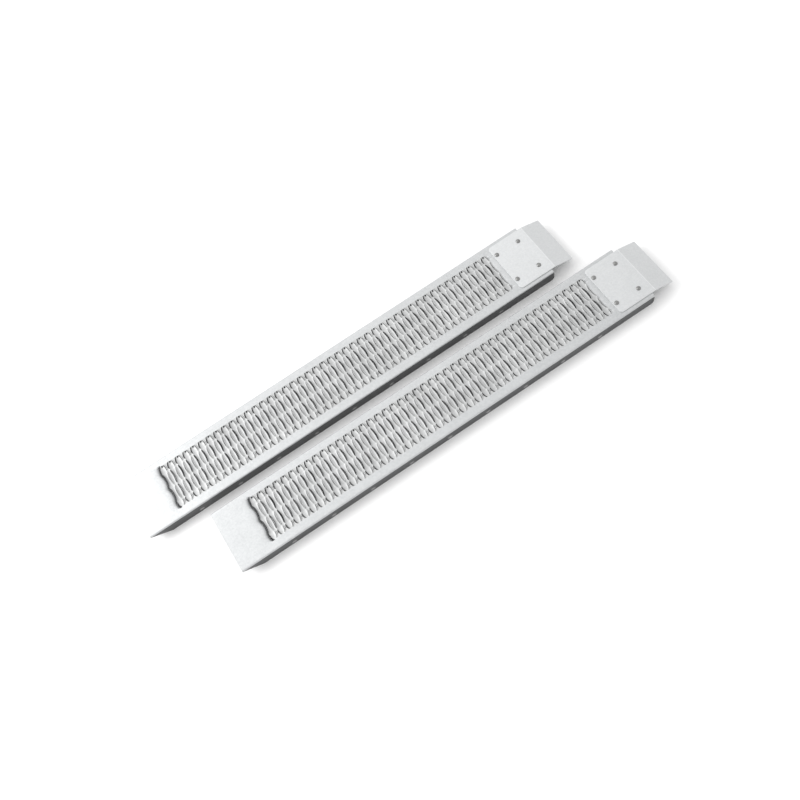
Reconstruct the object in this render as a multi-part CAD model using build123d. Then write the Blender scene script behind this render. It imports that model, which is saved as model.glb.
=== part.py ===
from build123d import *
import os
from math import cos, radians, sin

# A pair of portable wheelchair ramp tracks, lying side by side on their flanges. Each track is a
# formed sheet-steel channel with a slotted safety tread, a bolted lip plate at the top end and cross
# bars that tie the two flanges together. Millimetres. +Y runs up the tracks from the toe to the lip,
# +X goes across them, and the floor is the plane Z = 0.

# Channel
WIDTH = 225.0
LENGTH = 1585.0
HEIGHT = 45.0
SHEET = 2.0
OUTER_BEND = 4.0
TOE_TAPER = 66.0
TOE_TIP_DEPTH = 3.0
HEEL_RADIUS = 12.0

# Tread: rows of narrow strands with an open slot along each side and a relief hole at the far tip
ROWS = 44
ROW_PITCH = 30.0
FIRST_ROW = 139.0
CELL = 57.0
STRAND_WIDE = 10.4
STRAND_WAIST = 6.6
BRIDGE = 6.0
FRONT_GAP = 5.2
REAR_GAP = 2.4
TIP_NEAR = 81.0
TIP_FAR = 85.5
TIP_HALF = 4.0
TIP_BULGE = 2.0
TIP_GAP_SHARE = 0.4
RELIEF_RADIUS = 2.8
RELIEF_ACROSS = -81.8
RELIEF_ALONG = 0.4
GRIP_THICK = 1.4
GRIP_RISE = 3.0
GRIP_SETBACK = 0.3

# Cross bars through both flanges
BARS = 9
FIRST_BAR = 182.0
BAR_PITCH = 148.0
BAR_LONG = 16.0
BAR_TALL = 8.0
BAR_HEIGHT = 14.0

# Lip plate and its fasteners
PLATE_WIDTH = 198.0
PLATE_START = 1460.0
PLATE_BEND = 1601.0
PLATE_THICK = 3.0
PLATE_CORNER = 12.0
LIP_LENGTH = 75.0
LIP_ANGLE = 16.0
BOLT_ACROSS = 120.0
BOLT_ALONG = 88.0
BOLT_FIRST = 1472.0
BOLT_RADIUS = 4.0
BOLT_HOLE = 4.2
HEAD_RADIUS = 7.8
HEAD_RISE = 4.6
HEAD_RIM = 0.8
WASHER_RADIUS = 8.5
WASHER_THICK = 1.6
NUT_FLATS = 13.0
NUT_THICK = 6.5
NUT_CLEARANCE = 0.05
BOLT_STICKS_OUT = 3.0
SHANK_CHAMFER = 0.7

# Where the two tracks lie
TRACK_SPACING = 272.0
TRACK_STAGGER = 200.0

lip_run = LIP_LENGTH * cos(radians(LIP_ANGLE))
full_length = PLATE_BEND + lip_run + TRACK_STAGGER
TRACKS = {
    "left": (-TRACK_SPACING / 2, -full_length / 2),
    "right": (TRACK_SPACING / 2, -full_length / 2 + TRACK_STAGGER),
}
BOLT_PLACES = [
    (side * BOLT_ACROSS / 2, BOLT_FIRST + step * BOLT_ALONG) for side in (-1, 1) for step in (0, 1)
]
BAR_PLACES = [FIRST_BAR + number * BAR_PITCH for number in range(BARS)]


def crescent(x_start, x_end, y_ends, y_inner, y_outer):
    """Face between two arcs that share their end points."""
    middle = (x_start + x_end) / 2
    inner = ThreePointArc((x_start, y_ends[0]), (middle, y_inner), (x_end, y_ends[1]))
    outer = ThreePointArc((x_end, y_ends[1]), (middle, y_outer), (x_start, y_ends[0]))
    return make_face([inner, outer])


def slot_spans():
    """Start, end and end heights of the four slots along one side of a strand."""
    half_bridge = BRIDGE / 2
    wide = STRAND_WIDE
    whole = [(start + half_bridge, start + CELL - half_bridge, (wide, wide)) for start in (-CELL, 0)]
    far_end = (-TIP_FAR, -CELL - half_bridge, (TIP_HALF, wide))
    near_end = (CELL + half_bridge, TIP_NEAR, (wide, TIP_HALF))
    return whole, [far_end, near_end]


def strand_edges(gap, shift):
    """Faces along the +Y side of one strand, gap wide and moved in towards the strand by shift."""
    whole, ends = slot_spans()
    faces = []
    for start, end, heights in whole:
        inner = STRAND_WAIST - shift
        lowered = tuple(height - shift for height in heights)
        faces.append(crescent(start, end, lowered, inner, inner + gap))
    for start, end, heights in ends:
        middle_height = (STRAND_WIDE + TIP_HALF) / 2 + TIP_BULGE - shift
        half_gap = gap * TIP_GAP_SHARE
        lowered = tuple(height - shift for height in heights)
        faces.append(crescent(start, end, lowered, middle_height - half_gap, middle_height + half_gap))
    return faces


def both_sides(front, rear):
    """The -Y (front) faces mirrored into place, with the +Y (rear) faces as they are."""
    return [mirror(face, about=Plane.XZ) for face in front] + list(rear)


def row_faces(faces):
    """Copies of one row's faces in every row of the tread."""
    places = [Pos(0, FIRST_ROW + row * ROW_PITCH, 0) for row in range(ROWS)]
    return [place * face for place in places for face in faces]


def flat_bar(length):
    """Flat bar with half-round edges, along X and centred on the origin."""
    return extrude(Plane.YZ * SlotOverall(BAR_LONG, BAR_TALL), amount=length / 2, both=True)


def channel():
    """Plain channel: deck and two flanges, with the toe tapered and the heel corners rounded."""
    top = Pos(0, HEIGHT / 2) * Rectangle(WIDTH, HEIGHT)
    top = fillet(top.vertices().group_by(Axis.Y)[-1], OUTER_BEND)
    hollow = Pos(0, (HEIGHT - SHEET) / 2) * Rectangle(WIDTH - 2 * SHEET, HEIGHT - SHEET)
    hollow = fillet(hollow.vertices().group_by(Axis.Y)[-1], OUTER_BEND - SHEET)
    shape = extrude(Plane.XZ * (top - hollow), amount=-LENGTH)
    profile = Polyline(
        (0, HEIGHT - TOE_TIP_DEPTH), (TOE_TAPER, 0), (TOE_TAPER, -HEIGHT), (-HEIGHT, -HEIGHT),
        (-HEIGHT, HEIGHT - TOE_TIP_DEPTH), close=True,
    )
    taper = extrude(Plane.YZ * make_face(profile), amount=WIDTH, both=True)
    heel = Rectangle(HEEL_RADIUS, HEEL_RADIUS, align=(Align.MAX, Align.MIN))
    heel -= Pos(-HEEL_RADIUS, HEEL_RADIUS) * Circle(HEEL_RADIUS)
    heels = extrude(Plane.YZ * Pos(LENGTH, 0) * heel, amount=WIDTH, both=True)
    return shape - taper - heels


def deck():
    """Channel with its tread slots, raised grips, bolt holes and cross bar slots."""
    relief = Pos(RELIEF_ACROSS, RELIEF_ALONG) * Circle(RELIEF_RADIUS)
    openings = both_sides(strand_edges(FRONT_GAP, 0), strand_edges(REAR_GAP, 0)) + [relief]
    slots = row_faces(openings)
    grip_edges = strand_edges(-GRIP_THICK, GRIP_SETBACK)
    grips = row_faces(both_sides(grip_edges, grip_edges))
    cutters = [Pos(0, 0, HEIGHT - 2 * SHEET) * extrude(face, amount=3 * SHEET) for face in slots]
    cutters += [Pos(x, y, HEIGHT) * Cylinder(BOLT_HOLE, 4 * SHEET) for x, y in BOLT_PLACES]
    cutters += [Pos(0, y, BAR_HEIGHT) * flat_bar(WIDTH + 2 * SHEET) for y in BAR_PLACES]
    raised = [Pos(0, 0, HEIGHT - SHEET / 2) * extrude(face, amount=GRIP_RISE + SHEET / 2) for face in grips]
    shape = channel().cut(*cutters)
    return shape.fuse(*raised)


def lip_plate():
    """Flat plate with rounded lower corners, bent down along the top edge of the landing."""
    flat = Pos(0, (PLATE_START + PLATE_BEND) / 2) * Rectangle(PLATE_WIDTH, PLATE_BEND - PLATE_START)
    flat = fillet(flat.vertices().group_by(Axis.Y)[0], PLATE_CORNER)
    body = Pos(0, 0, HEIGHT) * extrude(flat, amount=PLATE_THICK)
    tongue = Box(PLATE_WIDTH, LIP_LENGTH, PLATE_THICK, align=(Align.CENTER, Align.MIN, Align.MAX))
    tongue = fillet(tongue.edges().filter_by(Axis.Z).group_by(Axis.Y)[-1], PLATE_THICK)
    body += Pos(0, PLATE_BEND, HEIGHT + PLATE_THICK) * Rot(-LIP_ANGLE, 0, 0) * tongue
    body += Pos(0, PLATE_BEND, HEIGHT + PLATE_THICK) * bend_wedge()
    return body.cut(*[Pos(x, y, HEIGHT) * Cylinder(BOLT_HOLE, 4 * PLATE_THICK) for x, y in BOLT_PLACES])


def bend_wedge():
    """Sector that fills the underside of the bend between the flat plate and the tongue."""
    angle = radians(LIP_ANGLE)
    profile = Polyline(
        (0, 0), (0, -PLATE_THICK), (-PLATE_THICK * sin(angle), -PLATE_THICK * cos(angle)), close=True
    )
    return extrude(Plane.YZ * make_face(profile), amount=PLATE_WIDTH / 2, both=True)


def carriage_bolt():
    """Domed head on the plate with its shank reaching down through plate, deck, washer and nut."""
    dome_radius = (HEAD_RADIUS**2 + (HEAD_RISE - HEAD_RIM) ** 2) / (2 * (HEAD_RISE - HEAD_RIM))
    ball = Pos(0, 0, HEAD_RISE - dome_radius) * Sphere(dome_radius)
    head = ball & Cylinder(HEAD_RADIUS, HEAD_RISE, align=(Align.CENTER, Align.CENTER, Align.MIN))
    grip = PLATE_THICK + SHEET + WASHER_THICK + NUT_THICK + BOLT_STICKS_OUT
    shank = Cylinder(BOLT_RADIUS, grip, align=(Align.CENTER, Align.CENTER, Align.MAX))
    shank = chamfer(shank.edges().group_by(Axis.Z)[0], SHANK_CHAMFER)
    return Pos(0, 0, HEIGHT + PLATE_THICK) * (head + shank)


def washer():
    """Flat washer under the deck."""
    ring = Circle(WASHER_RADIUS) - Circle(BOLT_HOLE)
    return Pos(0, 0, HEIGHT - SHEET - WASHER_THICK) * extrude(ring, amount=WASHER_THICK)


def nut():
    """Hexagon nut under the washer, with its bore clear of the shank."""
    blank = RegularPolygon(NUT_FLATS / 2, 6, major_radius=False) - Circle(BOLT_RADIUS + NUT_CLEARANCE)
    return Pos(0, 0, HEIGHT - SHEET - WASHER_THICK - NUT_THICK) * extrude(blank, amount=NUT_THICK)


def at_bolts(part):
    """One copy of a fastener at each bolt place, as separate solids."""
    return Compound(children=[Pos(x, y, 0) * part for x, y in BOLT_PLACES])


def track_parts():
    """Every node of one track in the track's own frame: centred in X, toe edge at Y = 0."""
    parts = {
        "deck": deck(),
        "lip_plate": lip_plate(),
        "carriage_bolts": at_bolts(carriage_bolt()),
        "washers": at_bolts(washer()),
        "nuts": at_bolts(nut()),
    }
    for number, y in enumerate(BAR_PLACES, start=1):
        parts[f"cross_bar_{number}"] = Pos(0, y, BAR_HEIGHT) * flat_bar(WIDTH)
    return parts


def main():
    os.makedirs("parts", exist_ok=True)
    parts = track_parts()
    for side, (x, y) in TRACKS.items():
        for name, part in parts.items():
            export_step(Pos(x, y, 0) * part, f"parts/{side}_{name}.step")


main()
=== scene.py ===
import math
import random
from collections import namedtuple

import bmesh
import bpy
import numpy as np
from mathutils import Matrix, Vector


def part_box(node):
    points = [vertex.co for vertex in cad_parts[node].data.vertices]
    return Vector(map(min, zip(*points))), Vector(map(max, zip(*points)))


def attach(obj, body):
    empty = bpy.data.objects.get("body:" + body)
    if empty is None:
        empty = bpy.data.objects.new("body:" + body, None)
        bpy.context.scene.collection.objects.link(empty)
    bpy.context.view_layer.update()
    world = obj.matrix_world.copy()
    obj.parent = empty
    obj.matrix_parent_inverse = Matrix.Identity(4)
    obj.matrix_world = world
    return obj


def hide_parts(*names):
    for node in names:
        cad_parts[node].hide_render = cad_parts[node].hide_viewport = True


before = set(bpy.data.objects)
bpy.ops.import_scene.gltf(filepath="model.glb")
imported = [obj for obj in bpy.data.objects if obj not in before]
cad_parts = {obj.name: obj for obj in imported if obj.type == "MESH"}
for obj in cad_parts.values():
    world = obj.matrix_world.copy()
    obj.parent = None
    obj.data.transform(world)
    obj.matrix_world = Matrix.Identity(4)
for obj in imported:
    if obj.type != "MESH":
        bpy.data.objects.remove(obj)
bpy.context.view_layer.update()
random.seed(7)

# A pair of portable wheelchair ramp tracks. +Y runs up the tracks from toe to lip and +X goes across
# them. Lengths are in metres. Each piece is built in its track's own frame or at its CAD node's box.
SIDES = ("left", "right")

# Channel
SHEET = 0.002
DRAWN_SHEET = SHEET * 0.65  # a little thinner, so that the narrow slots stay open
BEND_RADIUS = 0.004
TOE_TAPER = 0.066
TOE_TIP = 0.003
HEEL_RADIUS = 0.012
GRIP_ABOVE_DECK = 0.003

# Tread: rows across the track, with cells of slot and bridge along each row
ROWS = 44
ROW_PITCH = 0.030
FIRST_ROW = 0.139
CELL = 0.057
HALF_BRIDGE = 0.0025
STRAND_WIDE = 0.0107
STRAND_WAIST = 0.0060
TIP_NEAR = 0.081
TIP_FAR = 0.0855
TIP_HALF = 0.004
TREAD_FADE = 0.003  # the deck is plain this far past the tips

# Slots: a wide one in front of each strand and a narrow one behind it
REAR_SHIFT = 0.0016
FRONT_GAP = 0.0036
REAR_GAP = 0.0022
LEAST_GAP = 0.0002
END_GAP_SHARE = 0.55  # the front slots of the end cells are narrower
SLOT_BLUNTNESS = 0.4  # below 1, a slot keeps its width close to its ends

# Grips: the serrated, turned-up edges of the slots
GRIP_WALL = 0.0010
GRIP_BASE = 0.0004
GRIP_FOOT = 0.0011
GRIP_RAMP = 3.0  # a grip has its full height where its slot is a third open
FOOT_SHARE = 0.3  # most of a strand's half width that a grip's foot may take
LAND_FEET = 2.5  # the land in front of a grip has room for this many feet
TEETH_PER_CELL = 9
TOOTH_HEIGHT = 0.0014

# Dishes pressed into the strands and the lands between them: depth beside a bridge and beside a slot
STRAND_DISH = (0.0036, 0.0024)
LAND_DISH = (0.0006, 0.0022)
TIP_EASE = 0.010  # distance over which a dish runs out at the tips
DISH_AT_FOOT = 0.5
DISH_ON_LAND = 0.8
DISH_ON_STRAND = 0.85
STRAND_LINE = 0.55  # share of the strand's half width where it has DISH_ON_STRAND

# Relief hole at the far tip of each strand
HOLE_RADIUS = 0.0032
HOLE_ACROSS = -0.0816
HOLE_ALONG = 0.0004
HOLE_RIM = 0.0003
HOLE_STRIP = 3  # the strip of the strand's grid that the hole is cut from
LINE_APART = 0.0001

# Curl of the toe plate's edge, down in front of the first row
CURL_WIDTH = 0.0125
CURL_DROP = 0.0085
CURL_POWER = 2.2

# Grid of the deck sheet: lines along the track and stations across it
TOE_LINES = (0.0, 0.008, 0.02, 0.035, 0.05, TOE_TAPER, 0.08, 0.095)
LANDING_LINES = (1.46, 1.50, 1.54)
HEEL_ANGLES = (30, 50, 70, 90)
FLANGE_STEPS = (1.0, 0.8, 0.6, 0.4, 0.2, 0.0)
BEND_ANGLES = (22.5, 45.0, 67.5)
STATION_PITCH = 0.0015
FAR_MARGIN_STATIONS = 6
NEAR_MARGIN_STATIONS = 7
LEAST_FLANGE = 0.0002
MERGE_DISTANCE = 0.00004

# Lip plate
PLATE_THICK = 0.003
PLATE_CORNER = 0.012
PLATE_LINES = (0.04, 0.07, 0.10, 0.125)
PLATE_EDGE_RADIUS = 0.0006
BEND_START = 0.1385
LIP_LENGTH = 0.075
LIP_ANGLE = math.radians(16.0)
LIP_BEND_RADIUS = 0.011
LIP_BEND_STEPS = 6
LIP_BEND_TAKES = 0.0015  # length that the rounded bend takes from the lip
LIP_LINES = (0.02, 0.045)
LIP_TIP = ((0.003, 0.0), (0.0015, 0.0004), (0.0004, 0.0014), (0.0, 0.003))  # back from the tip, inset
LIP_COLUMNS = 24

# Fasteners
BOLT_ACROSS = 0.120
BOLT_ALONG = 0.088
BOLT_FIRST = 1.472
BOLT_RADIUS = 0.0040
HEAD_RADIUS = 0.0078
HEAD_RISE = 0.0046
HEAD_RIM = 0.0009
HEAD_CHAMFER = 0.0003
DOME_TOP = 0.0002
SHANK_LENGTH = 0.0161
SHANK_END = (0.0028, 0.0006)  # radius and length of the tapered end
THREAD_ROOT = 0.0033
THREAD_PITCH = 0.00125
THREAD_TURNS = 9
WASHER_RADIUS = 0.0085
WASHER_BORE = 0.0042
WASHER_THICK = 0.0016
WASHER_CHAMFER = (0.0003, 0.0002)  # across and along the bolt
NUT_FLATS = 0.013
NUT_THICK = 0.0065
NUT_CHAMFER = 0.0007
NUT_FACE_RADIUS = NUT_FLATS / 2 * 0.985
ROUND_SEGMENTS = 40
NUT_SEGMENTS = 36

# Cross bars, and the plug welds over their ends
BARS = 9
FIRST_BAR = 0.182
BAR_PITCH = 0.148
BAR_LONG = 0.016
BAR_TALL = 0.008
BAR_HEIGHT = 0.014
WELD_RINGS = 6
WELD_SEGMENTS = 36
WELD_PAST_END = (0.0012, 0.0010)  # along the track and up
WELD_RISE = 0.0011
WELD_SUNK = 0.0003
WELD_SHOULDER = 2.2  # a weld reaches its full rise 1 / 2.2 of the way in to its middle
WELD_CLOSING = 0.96  # how far the rings close in on the middle
RIPPLE_DEPTH = 0.035
RIPPLES_AROUND = 9
RIPPLE_TURN = 700  # radians per metre along the track, so that no two welds are alike
RIM_JITTER = 0.02
RISE_JITTER = 0.12

# Stage. The camera's angles are in degrees and its lens is in millimetres.
FLOOR_SIZE = 14.0
FLOOR_DROP = 0.0002
CAMERA_PLACE = (1.2428, -0.2900, 2.6588)
CAMERA_AZIMUTH = 77.5
CAMERA_ELEVATION = 65.07
CAMERA_ROLL = -22.12
CAMERA_LENS = 39.87
SENSOR_WIDTH = 36.0


def node_box(side, name):
    """Lowest and highest corners of one of a track's CAD nodes."""
    low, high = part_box(f"{side}_{name}")
    return Vector(low), Vector(high)


def track_origin(side):
    """Middle of a track's toe edge, on the floor."""
    low, high = node_box(side, "deck")
    return Vector(((low.x + high.x) / 2, low.y, 0.0))


DECK_LOW, DECK_HIGH = node_box("left", "deck")
WIDTH = DECK_HIGH.x - DECK_LOW.x
LENGTH = DECK_HIGH.y - DECK_LOW.y
HEIGHT = DECK_HIGH.z - DECK_LOW.z - GRIP_ABOVE_DECK


# ---------------------------------------------------------------- materials

class Nodes:
    """Small helper for building one node material."""

    def __init__(self, name):
        self.material = bpy.data.materials.new(name)
        self.material.use_nodes = True
        self.tree = self.material.node_tree
        self.shader = self.tree.nodes["Principled BSDF"]
        self.place = self.tree.nodes.new("ShaderNodeTexCoord").outputs["Object"]

    def add(self, kind, **settings):
        """New node, with each setting given to its property or else to its input."""
        node = self.tree.nodes.new(kind)
        for key, value in settings.items():
            if hasattr(node, key):
                setattr(node, key, value)
            else:
                node.inputs[key.replace("_", " ")].default_value = value
        return node

    def link(self, source, target):
        self.tree.links.new(source, target)

    def noise(self, scale, detail=4.0, roughness=0.55, stretch=None):
        place = self.place
        if stretch:
            mapping = self.add("ShaderNodeMapping")
            mapping.inputs["Scale"].default_value = stretch
            self.link(place, mapping.inputs["Vector"])
            place = mapping.outputs["Vector"]
        node = self.add("ShaderNodeTexNoise", Scale=scale, Detail=detail, Roughness=roughness)
        self.link(place, node.inputs["Vector"])
        return node.outputs["Fac"]

    def ramp(self, source, stops):
        """Colour ramp through (place, grey or colour) stops."""
        node = self.add("ShaderNodeValToRGB")
        elements = node.color_ramp.elements
        while len(elements) < len(stops):
            elements.new(0.5)
        for element, (place, value) in zip(elements, stops):
            element.position = place
            element.color = (*value, 1.0) if isinstance(value, tuple) else (value, value, value, 1.0)
        self.link(source, node.inputs["Fac"])
        return node.outputs["Color"]

    def mix(self, factor, first, second, blend="MIX"):
        """Colour mix. Its factor and colours are inputs 0, 6 and 7, and its colour is output 2."""
        node = self.tree.nodes.new("ShaderNodeMix")
        node.data_type = "RGBA"
        node.blend_type = blend
        for value, socket in ((factor, node.inputs[0]), (first, node.inputs[6]), (second, node.inputs[7])):
            if isinstance(value, bpy.types.NodeSocket):
                self.link(value, socket)
            else:
                socket.default_value = value
        return node.outputs[2]

    def bump(self, source, strength, distance, normal=None):
        node = self.add("ShaderNodeBump", Strength=strength, Distance=distance)
        self.link(source, node.inputs["Height"])
        if normal is not None:
            self.link(normal, node.inputs["Normal"])
        return node.outputs["Normal"]


def galvanised(name, tint, metallic=0.75, rough=(0.42, 0.58), patch=0.10):
    """Zinc-coated sheet: soft spangle, rolling grain along the track and light scuffs."""
    look = Nodes(name)
    spangle = look.add("ShaderNodeTexVoronoi", Scale=240.0)
    look.link(look.place, spangle.inputs["Vector"])
    flake = look.add("ShaderNodeRGBToBW")
    look.link(spangle.outputs["Color"], flake.inputs["Color"])
    cloud = look.noise(9.0, 5.0, 0.6)
    grain = look.noise(60.0, 6.0, 0.6, stretch=(14.0, 0.6, 14.0))
    fine = look.noise(900.0, 3.0, 0.5)
    dark = tuple(channel * (1 - patch) for channel in tint)
    base = look.mix(look.ramp(cloud, [(0.35, 0.0), (0.68, 1.0)]), (*dark, 1.0), (*tint, 1.0))
    cells = look.mix(0.08, base, flake.outputs["Val"], "OVERLAY")
    streaks = look.mix(0.16, cells, look.ramp(grain, [(0.3, 0.35), (0.7, 0.7)]), "OVERLAY")
    scratches = look.noise(34.0, 8.0, 0.75, stretch=(1.0, 0.12, 1.0))
    scuffs = look.ramp(scratches, [(0.60, 0.0), (0.72, 1.0)])
    worn = look.mix(look.ramp(scuffs, [(0.0, 0.0), (1.0, 0.10)]), streaks, (0.52, 0.53, 0.54, 1.0))
    look.link(worn, look.shader.inputs["Base Color"])
    look.link(look.ramp(grain, [(0.25, rough[0]), (0.75, rough[1])]), look.shader.inputs["Roughness"])
    look.shader.inputs["Metallic"].default_value = metallic
    normal = look.bump(grain, 0.10, 0.0006)
    look.link(look.bump(fine, 0.12, 0.0002, normal), look.shader.inputs["Normal"])
    return look.material


def zinc(name, tint, rough=(0.24, 0.40)):
    """Zinc plating with a faint tumbling texture."""
    look = Nodes(name)
    cloud = look.noise(220.0, 4.0, 0.6)
    fine = look.noise(1800.0, 3.0, 0.5)
    darker = tuple(channel * 0.72 for channel in tint)
    colour = look.mix(look.ramp(cloud, [(0.35, 0.0), (0.65, 1.0)]), (*darker, 1.0), (*tint, 1.0))
    look.link(colour, look.shader.inputs["Base Color"])
    look.link(look.ramp(cloud, [(0.3, rough[0]), (0.7, rough[1])]), look.shader.inputs["Roughness"])
    look.shader.inputs["Metallic"].default_value = 0.9
    look.link(look.bump(fine, 0.15, 0.0002), look.shader.inputs["Normal"])
    return look.material


def weld_metal(name):
    """Zinc-sprayed weld: grey, matt and rippled."""
    look = Nodes(name)
    cloud = look.noise(500.0, 4.0, 0.6)
    colour = look.ramp(cloud, [(0.3, (0.26, 0.26, 0.26)), (0.7, (0.38, 0.38, 0.375))])
    look.link(colour, look.shader.inputs["Base Color"])
    look.shader.inputs["Metallic"].default_value = 0.4
    look.shader.inputs["Roughness"].default_value = 0.55
    look.link(look.bump(look.noise(700.0, 3.0, 0.5), 0.5, 0.0004), look.shader.inputs["Normal"])
    return look.material


def matt_floor(name):
    """Plain pale studio floor."""
    look = Nodes(name)
    look.shader.inputs["Base Color"].default_value = (0.92, 0.92, 0.92, 1.0)
    look.shader.inputs["Roughness"].default_value = 0.9
    look.shader.inputs["Specular IOR Level"].default_value = 0.1
    return look.material


MATT = (0.5, 0.65)
DECK_TOP = galvanised("deck_galvanised", (0.525, 0.535, 0.54), patch=0.05)
# Painted shade: the tread is a darker, rougher and more mottled copy of the top's finish, standing in for the
# shade across the pressed tread
DECK_TREAD_PAINTED_SHADE = galvanised("tread_painted_shade", (0.52, 0.525, 0.525), metallic=0.6, rough=(0.5, 0.66), patch=0.16)
# Painted shade: the flanges and the sheet's cut edges are tinted near black to stand in for the shade on them
DECK_SIDE_PAINTED_SHADE = galvanised("flange_painted_shade", (0.10, 0.102, 0.104), metallic=0.4, rough=(0.45, 0.6), patch=0.2)
# Painted shade: the inner side of the sheet is tinted dark so that the slots read dark, as the shade beneath
# the deck would
DECK_UNDER_PAINTED_SHADE = galvanised("under_painted_shade", (0.26, 0.265, 0.27), metallic=0.4, rough=MATT, patch=0.2)
# Painted shade: the front slots' cut edges are near black, standing in for the deep shade inside the slots
SLOT_EDGE_PAINTED_SHADE = galvanised("slot_edge_painted_shade", (0.035, 0.035, 0.037), metallic=0.3, rough=MATT, patch=0.25)
LIP = galvanised("lip_rolled_steel", (0.62, 0.63, 0.635), rough=(0.38, 0.5), patch=0.03)
# Painted highlight: the bend is a lighter, smoother strip standing in for the highlight along it
LIP_BEND_PAINTED_HIGHLIGHT = galvanised("lip_burnished", (0.72, 0.73, 0.735), rough=(0.30, 0.42), patch=0.02)
BAR = galvanised("bar_galvanised", (0.45, 0.46, 0.47), rough=(0.4, 0.6), patch=0.2)
ZINC = zinc("zinc_plate", (0.30, 0.30, 0.295))
WELD = weld_metal("weld_zinc")

# Each part of the deck has three finishes: its outer side's, its cut edges' and its inner side's. The dark
# flange, cut edge and inner side finishes are painted shade.
TOP, SIDE, TREAD, TREAD_REAR = 0, 3, 6, 9
DECK_FINISHES = [
    DECK_TOP, DECK_SIDE_PAINTED_SHADE, DECK_UNDER_PAINTED_SHADE,
    DECK_SIDE_PAINTED_SHADE, DECK_SIDE_PAINTED_SHADE, DECK_UNDER_PAINTED_SHADE,
    DECK_TREAD_PAINTED_SHADE, SLOT_EDGE_PAINTED_SHADE, DECK_UNDER_PAINTED_SHADE,
    DECK_TREAD_PAINTED_SHADE, DECK_TREAD_PAINTED_SHADE, DECK_UNDER_PAINTED_SHADE,
]


# ---------------------------------------------------------------- mesh helpers

def new_piece(name, verts, faces, materials):
    """New object in the scene with one mesh."""
    mesh = bpy.data.meshes.new(name)
    mesh.from_pydata([tuple(vert) for vert in verts], [], faces)
    mesh.validate()
    piece = bpy.data.objects.new(name, mesh)
    bpy.context.scene.collection.objects.link(piece)
    for material in materials:
        mesh.materials.append(material)
    return piece


def add_thickness(piece, thickness):
    """Solidify modifier that thickens a sheet inwards."""
    solid = piece.modifiers.new("thickness", "SOLIDIFY")
    solid.thickness = thickness
    solid.offset = -1.0
    return solid


def apply_modifiers(piece):
    graph = bpy.context.evaluated_depsgraph_get()
    result = bpy.data.meshes.new_from_object(piece.evaluated_get(graph))
    piece.modifiers.clear()
    piece.data = result


def shade(piece, angle):
    """Smooth shading, with edges sharper than the angle in degrees kept sharp."""
    piece.data.polygons.foreach_set("use_smooth", [True] * len(piece.data.polygons))
    piece.data.set_sharp_from_angle(angle=math.radians(angle))


def ring_faces(rings, segments):
    """Quads between neighbouring closed rings of points."""
    faces = []
    for ring in range(rings - 1):
        for step in range(segments):
            here = ring * segments + step
            beside = ring * segments + (step + 1) % segments
            faces.append((here, beside, beside + segments, here + segments))
    return faces


def joined(name, chunks, material):
    """One piece from several closed shapes, each given as its points and faces."""
    verts, faces = [], []
    for chunk_verts, chunk_faces in chunks:
        start = len(verts)
        verts += chunk_verts
        faces += [tuple(corner + start for corner in face) for face in chunk_faces]
    piece = new_piece(name, verts, faces, [material])
    editor = bmesh.new()
    editor.from_mesh(piece.data)
    bmesh.ops.recalc_face_normals(editor, faces=editor.faces)
    editor.to_mesh(piece.data)
    editor.free()
    return piece


# ---------------------------------------------------------------- tread shape

def slot_openness(x):
    """How open the slots are at x: 1 at a slot's middle, down to 0 at its ends and over a bridge."""
    if x < -CELL:
        start, end = -TIP_FAR, -CELL - HALF_BRIDGE
    elif x < 0.0:
        start, end = -CELL + HALF_BRIDGE, -HALF_BRIDGE
    elif x < CELL:
        start, end = HALF_BRIDGE, CELL - HALF_BRIDGE
    else:
        start, end = CELL + HALF_BRIDGE, TIP_NEAR
    middle = (start + end) / 2
    half = (end - start) / 2
    return max(0.0, 1.0 - ((x - middle) / half) ** 2)


def strand_half_width(x):
    """Half width of a strand at x: waisted between the bridges and rounded off towards the tips."""
    if abs(x) > CELL + HALF_BRIDGE:
        tip = TIP_FAR if x < 0 else TIP_NEAR
        reach = min(1.0, (abs(x) - CELL - HALF_BRIDGE) / (tip - CELL - HALF_BRIDGE))
        return TIP_HALF + (STRAND_WIDE - TIP_HALF) * math.sqrt(1.0 - reach * reach)
    return STRAND_WIDE - (STRAND_WIDE - STRAND_WAIST) * slot_openness(x)


def tooth(x, phase):
    """Triangle wave from 0 to 1."""
    turn = (x / CELL * TEETH_PER_CELL + phase) % 1.0
    return 1.0 - abs(2.0 * turn - 1.0)


def dish_height(depths, openness):
    """Height of a dish's floor, between its depths beside a bridge and beside a slot."""
    return -(depths[0] + (depths[1] - depths[0]) * openness)


def curled_edge(edge, fade):
    """Lines where the toe plate curls down in front of the first row."""
    steps = (0.0, 0.25, 0.5, 0.75, 1.0)
    return [(-edge - CURL_WIDTH * (1 - t), -CURL_DROP * t ** CURL_POWER * fade) for t in steps]


def front_land(edge, dish, grip):
    """Lines from halfway between two rows to the front slot's outer grip."""
    foot = min(GRIP_FOOT, (ROW_PITCH / 2 - edge) / LAND_FEET)
    return [
        (-ROW_PITCH / 2, dish),
        (-edge - 2 * foot, dish * DISH_ON_LAND),
        (-edge - foot, dish * DISH_AT_FOOT),
        (-edge, grip),
    ]


def rear_land(edge, dish, grip):
    """Lines from the rear slot's outer grip on to the land behind it."""
    return [
        (edge, grip),
        (edge + GRIP_FOOT, dish * DISH_AT_FOOT),
        (edge + 2 * GRIP_FOOT, dish * DISH_ON_LAND),
    ]


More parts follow.
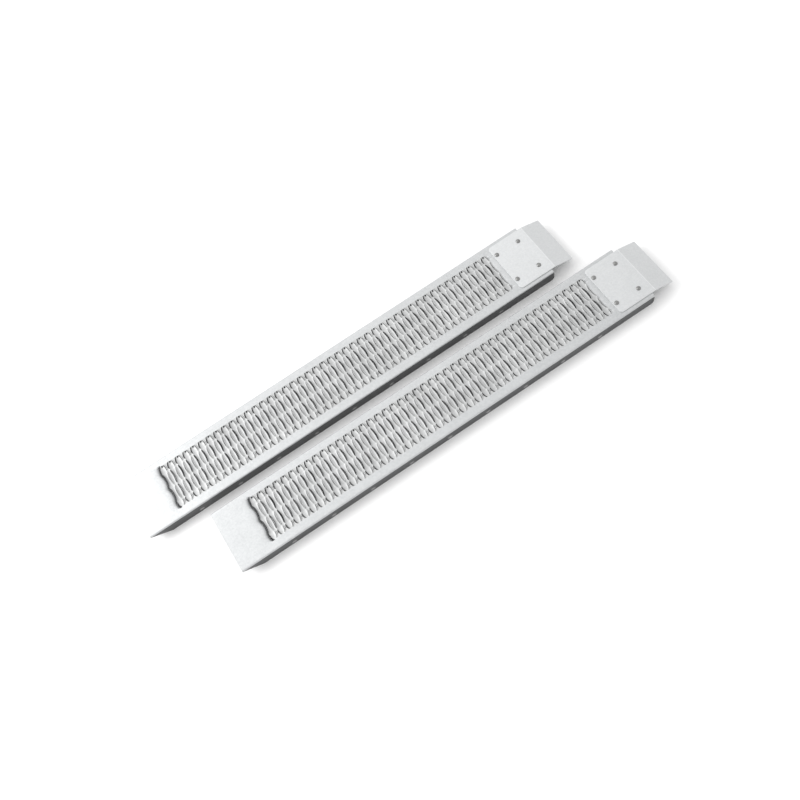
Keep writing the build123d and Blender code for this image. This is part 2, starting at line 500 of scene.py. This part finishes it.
def strand_lines(front, rear, foot, hole, dish, grips):
    """Lines across a dished strand from its front grip to its rear one, past both sides of the hole."""
    behind_hole = max(rear * STRAND_LINE, HOLE_ALONG + hole + LINE_APART)
    return [
        (-front, grips[0]),
        (-front + foot, dish * DISH_AT_FOOT),
        (-front * STRAND_LINE, dish * DISH_ON_STRAND),
        (HOLE_ALONG - hole, dish),
        (HOLE_ALONG + hole, dish),
        (behind_hole, dish * DISH_ON_STRAND),
        (rear - foot, dish * DISH_AT_FOOT),
        (rear, grips[1]),
    ]


def row_lines(x, first):
    """One tread row at x: its lines along Y as (offset, height), and how wide its openings are.

    The lines come in three lists: the land in front, the strand, and the land behind. The openings
    between and in them are the front slot, the rear slot and half of the relief hole.
    """
    beyond = max(-TIP_FAR - x, x - TIP_NEAR, 0.0)
    fade = max(0.0, 1.0 - beyond / TREAD_FADE)
    inside = fade > 0.0
    openness = slot_openness(x) if inside else 0.0
    front_half = strand_half_width(x) if inside else TIP_HALF
    rear_half = front_half - REAR_SHIFT
    share = END_GAP_SHARE if abs(x) > CELL else 1.0
    front_gap = FRONT_GAP * share * openness ** SLOT_BLUNTNESS * fade
    rear_gap = REAR_GAP * openness ** SLOT_BLUNTNESS * fade

    rise = min(1.0, openness * GRIP_RAMP) * fade
    wall = GRIP_WALL * rise
    grip = rise * (GRIP_BASE + TOOTH_HEIGHT * tooth(x, 0.0))
    other_grip = rise * (GRIP_BASE + TOOTH_HEIGHT * tooth(x, 0.5))
    ease = max(0.0, min(1.0, min(x + TIP_FAR, TIP_NEAR - x) / TIP_EASE)) if inside else 0.0
    strand_dish = dish_height(STRAND_DISH, openness) * ease
    land_dish = dish_height(LAND_DISH, openness) * ease

    if first:
        front_gap = FRONT_GAP * fade
        before = curled_edge(front_half + front_gap, fade)
    else:
        before = front_land(front_half + front_gap + wall, land_dish, other_grip)
    front_edge = front_half - wall
    rear_edge = rear_half - wall
    foot = min(GRIP_FOOT, front_edge * FOOT_SHARE, rear_edge * FOOT_SHARE)
    hole = math.sqrt(max(0.0, HOLE_RADIUS ** 2 - (x - HOLE_ACROSS) ** 2))
    hole = min(hole, max(0.0, rear_edge - foot - HOLE_RIM - HOLE_ALONG))
    strand = strand_lines(front_edge, rear_edge, foot, hole, strand_dish, (grip, other_grip))
    after = rear_land(rear_half + rear_gap + wall, land_dish, grip)
    return (before, strand, after), (front_gap, rear_gap, hole)


# ---------------------------------------------------------------- deck

# One station across the sheet. front, rear and hole are the sizes of the openings there, each under the
# number of the grid strip that it is cut from.
Column = namedtuple("Column", "kind place lines front rear hole")


def across_stations():
    """Stations across the sheet: on a flange by share of its depth, on a bend by angle, on top by x."""
    edge = WIDTH / 2 - BEND_RADIUS
    far_margin = np.linspace(-edge, -TIP_FAR - TREAD_FADE, FAR_MARGIN_STATIONS)
    tread = np.arange(-TIP_FAR, TIP_NEAR + STATION_PITCH / 4, STATION_PITCH)
    near_margin = np.linspace(TIP_NEAR + TREAD_FADE, edge, NEAR_MARGIN_STATIONS)
    stations = [("far_flange", share) for share in FLANGE_STEPS]
    stations += [("far_bend", angle) for angle in BEND_ANGLES]
    stations += [("top", x) for x in (*far_margin, *tread, *near_margin)]
    stations += [("near_bend", angle) for angle in reversed(BEND_ANGLES)]
    stations += [("near_flange", share) for share in reversed(FLANGE_STEPS)]
    return stations


def flange_bottom(y):
    """Height of the flange's lower edge at y from the toe."""
    if y < TOE_TAPER:
        return (HEIGHT - TOE_TIP) * (1.0 - y / TOE_TAPER)
    if y > LENGTH - HEEL_RADIUS:
        over = y - (LENGTH - HEEL_RADIUS)
        return HEEL_RADIUS - math.sqrt(max(0.0, HEEL_RADIUS ** 2 - over ** 2))
    return 0.0


def add_row(column, row):
    """Add one tread row's lines and openings to a column. Off the top, the row is plain sheet."""
    x = column.place if column.kind == "top" else WIDTH / 2
    centre = FIRST_ROW + row * ROW_PITCH
    (before, strand, after), (front_gap, rear_gap, hole) = row_lines(x, row == 0)
    lines = column.lines
    lines += [(centre + offset, height) for offset, height in before]
    column.front[len(lines) - 1] = front_gap
    column.hole[len(lines) + HOLE_STRIP] = hole
    lines += [(centre + offset, height) for offset, height in strand]
    column.rear[len(lines) - 1] = rear_gap
    lines += [(centre + offset, height) for offset, height in after]


def deck_columns():
    """Every station's column of grid lines, from the toe to the heel."""
    landing = [FIRST_ROW + (ROWS - 1) * ROW_PITCH + ROW_PITCH / 2, *LANDING_LINES, LENGTH - HEEL_RADIUS]
    landing += [LENGTH - HEEL_RADIUS * (1 - math.sin(math.radians(angle))) for angle in HEEL_ANGLES]
    columns = []
    for kind, place in across_stations():
        column = Column(kind, place, [(y, 0.0) for y in TOE_LINES], {}, {}, {})
        for row in range(ROWS):
            add_row(column, row)
        column.lines.extend((y, 0.0) for y in landing)
        columns.append(column)
    return columns


def station_point(column, y, height):
    """Point of the sheet on one column, with its flange cut off along the toe and the heel."""
    if column.kind == "top":
        return (column.place, y, HEIGHT + height)
    edge = WIDTH / 2
    side = -1.0 if column.kind.startswith("far") else 1.0
    if column.kind.endswith("bend"):
        angle = math.radians(column.place)
        out = edge - BEND_RADIUS + BEND_RADIUS * math.cos(angle)
        up = HEIGHT - BEND_RADIUS + BEND_RADIUS * math.sin(angle)
        return (side * out, y, max(up, min(flange_bottom(y), HEIGHT)))
    top = HEIGHT - BEND_RADIUS
    bottom = min(flange_bottom(y), top - LEAST_FLANGE)
    return (side * edge, y, top + (bottom - top) * column.place)


def open_strips(column):
    """Strips of the grid that are cut away at a column."""
    openings = {**column.front, **column.rear, **column.hole}
    return {strip for strip, width in openings.items() if width > LEAST_GAP}


def strip_finish(column, following, strip, tread_strips):
    """First of the three finishes of one face between a column and the one that follows it."""
    if column.kind.endswith("flange") and following.kind.endswith("flange"):
        return SIDE
    across_tread = column.kind == "top" and -TIP_FAR <= column.place < TIP_NEAR
    if not across_tread or strip not in tread_strips:
        return TOP
    beside_rear_slot = strip - 1 in column.rear or strip + 1 in column.rear
    return TREAD_REAR if beside_rear_slot else TREAD


def deck_mesh():
    """Outer side of the deck sheet in its track's own frame: points, faces and the faces' finishes."""
    columns = deck_columns()
    count = len(columns[0].lines)
    tread_strips = range(min(columns[0].front), max(columns[0].rear) + 2)
    verts = [station_point(column, y, height) for column in columns for y, height in column.lines]
    faces, finishes = [], []
    for number, (column, following) in enumerate(zip(columns, columns[1:])):
        cut_away = open_strips(column) | open_strips(following)
        for strip in range(count - 1):
            if strip in cut_away:
                continue
            corner = number * count + strip
            faces.append((corner, corner + count, corner + count + 1, corner + 1))
            finishes.append(strip_finish(column, following, strip, tread_strips))
    return verts, faces, finishes


def clean_sheet(mesh, origin):
    """Merge points that meet, turn every face outwards and move the mesh to its place."""
    editor = bmesh.new()
    editor.from_mesh(mesh)
    bmesh.ops.remove_doubles(editor, verts=editor.verts, dist=MERGE_DISTANCE)
    bmesh.ops.recalc_face_normals(editor, faces=editor.faces)
    if sum(face.normal.z * face.calc_area() for face in editor.faces) < 0:
        bmesh.ops.reverse_faces(editor, faces=editor.faces)
    bmesh.ops.translate(editor, verts=editor.verts, vec=origin)
    editor.to_mesh(mesh)
    editor.free()


def build_deck(side, verts, faces, finishes):
    piece = new_piece(f"{side}_deck_sheet", verts, faces, DECK_FINISHES)
    piece.data.polygons.foreach_set("material_index", finishes)
    clean_sheet(piece.data, track_origin(side))
    solid = add_thickness(piece, DRAWN_SHEET)
    solid.use_even_offset = False
    solid.material_offset = 2
    solid.material_offset_rim = 1
    apply_modifiers(piece)
    shade(piece, 40.0)
    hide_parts(f"{side}_deck")
    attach(piece, f"{side}_track")


# ---------------------------------------------------------------- lip plate

def plate_rows(start, half, top):
    """Rows across the flat plate up to its bend, as (y, z, half width)."""
    rows = []
    for angle in range(0, 91, 15):
        turn = math.radians(angle)
        y = start + PLATE_CORNER * (1 - math.cos(turn))
        rows.append((y, top, half - PLATE_CORNER + PLATE_CORNER * math.sin(turn)))
    return rows + [(start + along, top, half) for along in PLATE_LINES]


def bend_rows(start, half, top):
    """Rows across the rounded bend, as (y, z, half width)."""
    rows = []
    for step in range(LIP_BEND_STEPS + 1):
        turn = LIP_ANGLE * step / LIP_BEND_STEPS
        y = start + LIP_BEND_RADIUS * math.sin(turn)
        z = top - LIP_BEND_RADIUS * (1 - math.cos(turn))
        rows.append((y, z, half))
    return rows


def lip_rows(start, height, half):
    """Rows across the lip from the end of the bend to its rounded tip, as (y, z, half width)."""
    run = LIP_LENGTH - LIP_BEND_TAKES
    places = [(along, 0.0) for along in LIP_LINES]
    places += [(run - back, inset) for back, inset in LIP_TIP]
    rows = []
    for along, inset in places:
        y = start + along * math.cos(LIP_ANGLE)
        z = height - along * math.sin(LIP_ANGLE)
        rows.append((y, z, half - inset))
    return rows


def build_lip(side):
    """Flat plate with rounded lower corners, a bend with a painted highlight and the lip past it."""
    low, high = node_box(side, "lip_plate")
    middle = (low.x + high.x) / 2
    half = (high.x - low.x) / 2
    top = HEIGHT + PLATE_THICK
    plate = plate_rows(low.y, half, top)
    bend = bend_rows(low.y + BEND_START - LIP_BEND_RADIUS * math.tan(LIP_ANGLE / 2) / 2, half, top)
    rows = plate + bend + lip_rows(bend[-1][0], bend[-1][1], half)
    # rows of the bend, which get the painted highlight
    burnished = range(len(plate), len(plate) + LIP_BEND_STEPS)
    verts, faces, finishes = [], [], []
    for y, z, reach in rows:
        verts += [(middle + reach * (2 * step / LIP_COLUMNS - 1), y, z) for step in range(LIP_COLUMNS + 1)]
    for row in range(len(rows) - 1):
        for step in range(LIP_COLUMNS):
            corner = row * (LIP_COLUMNS + 1) + step
            faces.append((corner, corner + 1, corner + LIP_COLUMNS + 2, corner + LIP_COLUMNS + 1))
            finishes.append(int(row in burnished))
    piece = new_piece(f"{side}_lip", verts, faces, [LIP, LIP_BEND_PAINTED_HIGHLIGHT])
    piece.data.polygons.foreach_set("material_index", finishes)
    add_thickness(piece, PLATE_THICK)
    bevel = piece.modifiers.new("edges", "BEVEL")
    bevel.width = PLATE_EDGE_RADIUS
    bevel.segments = 3
    bevel.limit_method = "ANGLE"
    bevel.angle_limit = math.radians(50)
    apply_modifiers(piece)
    shade(piece, 40.0)
    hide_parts(f"{side}_lip_plate")
    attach(piece, f"{side}_track")


# ---------------------------------------------------------------- fasteners

def lathe(profile, centre):
    """Surface of revolution about Z from (radius, height) points, closed at both ends."""
    verts = []
    for radius, height in profile:
        for step in range(ROUND_SEGMENTS):
            angle = 2 * math.pi * step / ROUND_SEGMENTS
            x = centre.x + radius * math.cos(angle)
            y = centre.y + radius * math.sin(angle)
            verts.append((x, y, centre.z + height))
    faces = ring_faces(len(profile), ROUND_SEGMENTS)
    faces.append(tuple(range(ROUND_SEGMENTS))[::-1])
    faces.append(tuple(range((len(profile) - 1) * ROUND_SEGMENTS, len(profile) * ROUND_SEGMENTS)))
    return verts, faces


def bolt_places(side):
    """Points on the floor below the four bolts of a track."""
    origin = track_origin(side)
    return [origin + Vector((across * BOLT_ACROSS / 2, BOLT_FIRST + step * BOLT_ALONG, 0.0))
            for across in (-1, 1) for step in (0, 1)]


def bolt_profile():
    """Carriage bolt from the end of its shank to the top of its domed head, on a plate at height 0."""
    end_radius, end_length = SHANK_END
    profile = [(end_radius, -SHANK_LENGTH - end_length)]
    for turn in range(THREAD_TURNS):
        profile.append((THREAD_ROOT, -SHANK_LENGTH + THREAD_PITCH * turn))
        profile.append((BOLT_RADIUS, -SHANK_LENGTH + THREAD_PITCH * (turn + 0.5)))
    profile += [(BOLT_RADIUS, 0.0), (HEAD_RADIUS - HEAD_CHAMFER, 0.0), (HEAD_RADIUS, HEAD_CHAMFER)]
    for angle in range(0, 90, 9):
        turn = math.radians(angle)
        profile.append((HEAD_RADIUS * math.cos(turn), HEAD_RIM + (HEAD_RISE - HEAD_RIM) * math.sin(turn)))
    return profile + [(DOME_TOP, HEAD_RISE)]


def washer_profile():
    """Flat washer with its outer corners taken off. Its hole isn't open, because the bolt fills it."""
    across, along = WASHER_CHAMFER
    return [
        (WASHER_BORE, 0.0),
        (WASHER_RADIUS - across, 0.0),
        (WASHER_RADIUS, along),
        (WASHER_RADIUS, WASHER_THICK - along),
        (WASHER_RADIUS - across, WASHER_THICK),
        (WASHER_BORE, WASHER_THICK),
    ]


def nut_radius(kind, angle):
    """Radius at an angle of a nut's bore, its hexagonal side or its chamfered face."""
    if kind == "bore":
        return BOLT_RADIUS
    from_flat = (angle + math.pi / 6) % (math.pi / 3) - math.pi / 6
    side = NUT_FLATS / 2 / math.cos(from_flat)
    return min(side, NUT_FACE_RADIUS) if kind == "face" else side


def hexagon_nut(centre, turn):
    """Chamfered hexagon nut with an open bore, standing on its centre."""
    layers = [
        ("bore", 0.0),
        ("face", 0.0),
        ("side", NUT_CHAMFER),
        ("side", NUT_THICK - NUT_CHAMFER),
        ("face", NUT_THICK),
        ("bore", NUT_THICK),
    ]
    verts = []
    for kind, height in layers:
        for step in range(NUT_SEGMENTS):
            angle = 2 * math.pi * step / NUT_SEGMENTS
            radius = nut_radius(kind, angle)
            x = centre.x + radius * math.cos(angle + turn)
            y = centre.y + radius * math.sin(angle + turn)
            verts.append((x, y, centre.z + height))
    faces = ring_faces(len(layers) + 1, NUT_SEGMENTS)
    return verts, [tuple(corner % len(verts) for corner in face) for face in faces]


def build_fasteners(side):
    """Carriage bolts, washers and nuts of one track, with each nut turned at random."""
    places = bolt_places(side)
    plate_top = Vector((0, 0, HEIGHT + PLATE_THICK))
    washer_foot = Vector((0, 0, HEIGHT - SHEET - WASHER_THICK))
    nut_foot = Vector((0, 0, HEIGHT - SHEET - WASHER_THICK - NUT_THICK))
    bolts = [lathe(bolt_profile(), place + plate_top) for place in places]
    washers = [lathe(washer_profile(), place + washer_foot) for place in places]
    nuts = [hexagon_nut(place + nut_foot, random.uniform(0, 1)) for place in places]
    kinds = (
        ("bolts", bolts, "carriage_bolts", "zinc_bolts"),
        ("flat_washers", washers, "washers", "zinc_washers"),
        ("hex_nuts", nuts, "nuts", "zinc_nuts"),
    )
    for name, chunks, node, slot in kinds:
        piece = joined(f"{side}_{name}", chunks, ZINC)
        shade(piece, 30.0)
        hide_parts(f"{side}_{node}")
        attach(piece, f"{side}_track")


# ---------------------------------------------------------------- cross bars and welds

def weld_cap(centre, outward):
    """Rippled oval plug weld over a bar end, standing a little proud of the flange."""
    verts = []
    for ring in range(WELD_RINGS + 1):
        inwards = ring / WELD_RINGS
        closing = 1 - inwards * WELD_CLOSING
        rise = WELD_RISE * math.sin(min(1.0, inwards * WELD_SHOULDER) * math.pi / 2)
        for step in range(WELD_SEGMENTS):
            angle = 2 * math.pi * step / WELD_SEGMENTS
            wave = math.sin(RIPPLES_AROUND * angle + centre.y * RIPPLE_TURN)
            ripple = 1.0 + RIPPLE_DEPTH * wave + random.uniform(-RIM_JITTER, RIM_JITTER)
            y = (BAR_LONG / 2 + WELD_PAST_END[0]) * ripple * math.cos(angle) * closing
            z = (BAR_TALL / 2 + WELD_PAST_END[1]) * ripple * math.sin(angle) * closing
            out = rise * (1 + random.uniform(-RISE_JITTER, RISE_JITTER))
            if ring == 0:
                out = -WELD_SUNK
            verts.append((centre.x + outward * out, centre.y + y, centre.z + z))
    faces = ring_faces(WELD_RINGS + 1, WELD_SEGMENTS)
    faces.append(tuple(range(WELD_RINGS * WELD_SEGMENTS, (WELD_RINGS + 1) * WELD_SEGMENTS)))
    faces.append(tuple(range(WELD_SEGMENTS))[::-1])
    return verts, faces


def build_welds(side):
    """Both plug welds of every cross bar of one track."""
    origin = track_origin(side)
    chunks = []
    for number in range(BARS):
        for outward in (-1, 1):
            along = FIRST_BAR + number * BAR_PITCH
            chunks.append(weld_cap(origin + Vector((outward * WIDTH / 2, along, BAR_HEIGHT)), outward))
    piece = joined(f"{side}_welds", chunks, WELD)
    shade(piece, 60.0)
    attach(piece, f"{side}_track")


def finish_bars(side):
    """Give the CAD cross bars their material."""
    for number in range(1, BARS + 1):
        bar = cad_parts[f"{side}_cross_bar_{number}"]
        bar.data.materials.clear()
        bar.data.materials.append(BAR)


# ---------------------------------------------------------------- stage

def build_floor():
    corners = [(-FLOOR_SIZE, -FLOOR_SIZE, 0), (FLOOR_SIZE, -FLOOR_SIZE, 0),
               (FLOOR_SIZE, FLOOR_SIZE, 0), (-FLOOR_SIZE, FLOOR_SIZE, 0)]
    floor = new_piece("floor", corners, [(0, 1, 2, 3)], [matt_floor("studio_floor")])
    floor.location.z = -FLOOR_DROP


def area_light(name, place, size, power):
    """Rectangular light aimed at the middle of the floor."""
    light = bpy.data.lights.new(name, "AREA")
    light.shape = "RECTANGLE"
    light.size, light.size_y = size
    light.energy = power
    lamp = bpy.data.objects.new(name, light)
    lamp.location = place
    lamp.rotation_euler = (-Vector(place)).to_track_quat("-Z", "Y").to_euler()
    bpy.context.scene.collection.objects.link(lamp)


def build_lights():
    world = bpy.data.worlds.new("studio")
    world.use_nodes = True
    background = world.node_tree.nodes["Background"]
    background.inputs["Color"].default_value = (1.0, 1.0, 1.0, 1.0)
    background.inputs["Strength"].default_value = 1.0
    bpy.context.scene.world = world
    bpy.context.scene.view_settings.view_transform = "Standard"
    area_light("key", (-1.8, -3.0, 2.6), (3.0, 2.0), 120.0)
    area_light("back", (-2.6, 0.4, 3.4), (3.0, 3.0), 20.0)


def build_camera():
    azimuth = math.radians(CAMERA_AZIMUTH)
    elevation = math.radians(CAMERA_ELEVATION)
    roll = math.radians(CAMERA_ROLL)
    level_reach = math.cos(elevation)
    forward = Vector((
        -math.sin(azimuth) * level_reach,
        math.cos(azimuth) * level_reach,
        -math.sin(elevation),
    ))
    level = forward.cross(Vector((0, 0, 1))).normalized()
    lifted = level.cross(forward)
    right = level * math.cos(roll) + lifted * math.sin(roll)
    up = right.cross(forward)
    camera_data = bpy.data.cameras.new("camera")
    camera_data.lens = CAMERA_LENS
    camera_data.sensor_width = SENSOR_WIDTH
    camera = bpy.data.objects.new("camera", camera_data)
    turn = Matrix((right, up, -forward)).transposed().to_4x4()
    camera.matrix_world = Matrix.Translation(CAMERA_PLACE) @ turn
    bpy.context.scene.collection.objects.link(camera)
    bpy.context.scene.camera = camera


sheet_verts, sheet_faces, sheet_finishes = deck_mesh()
for track in SIDES:
    build_deck(track, sheet_verts, sheet_faces, sheet_finishes)
    build_lip(track)
    build_fasteners(track)
    build_welds(track)
    finish_bars(track)
build_floor()
build_lights()
build_camera()
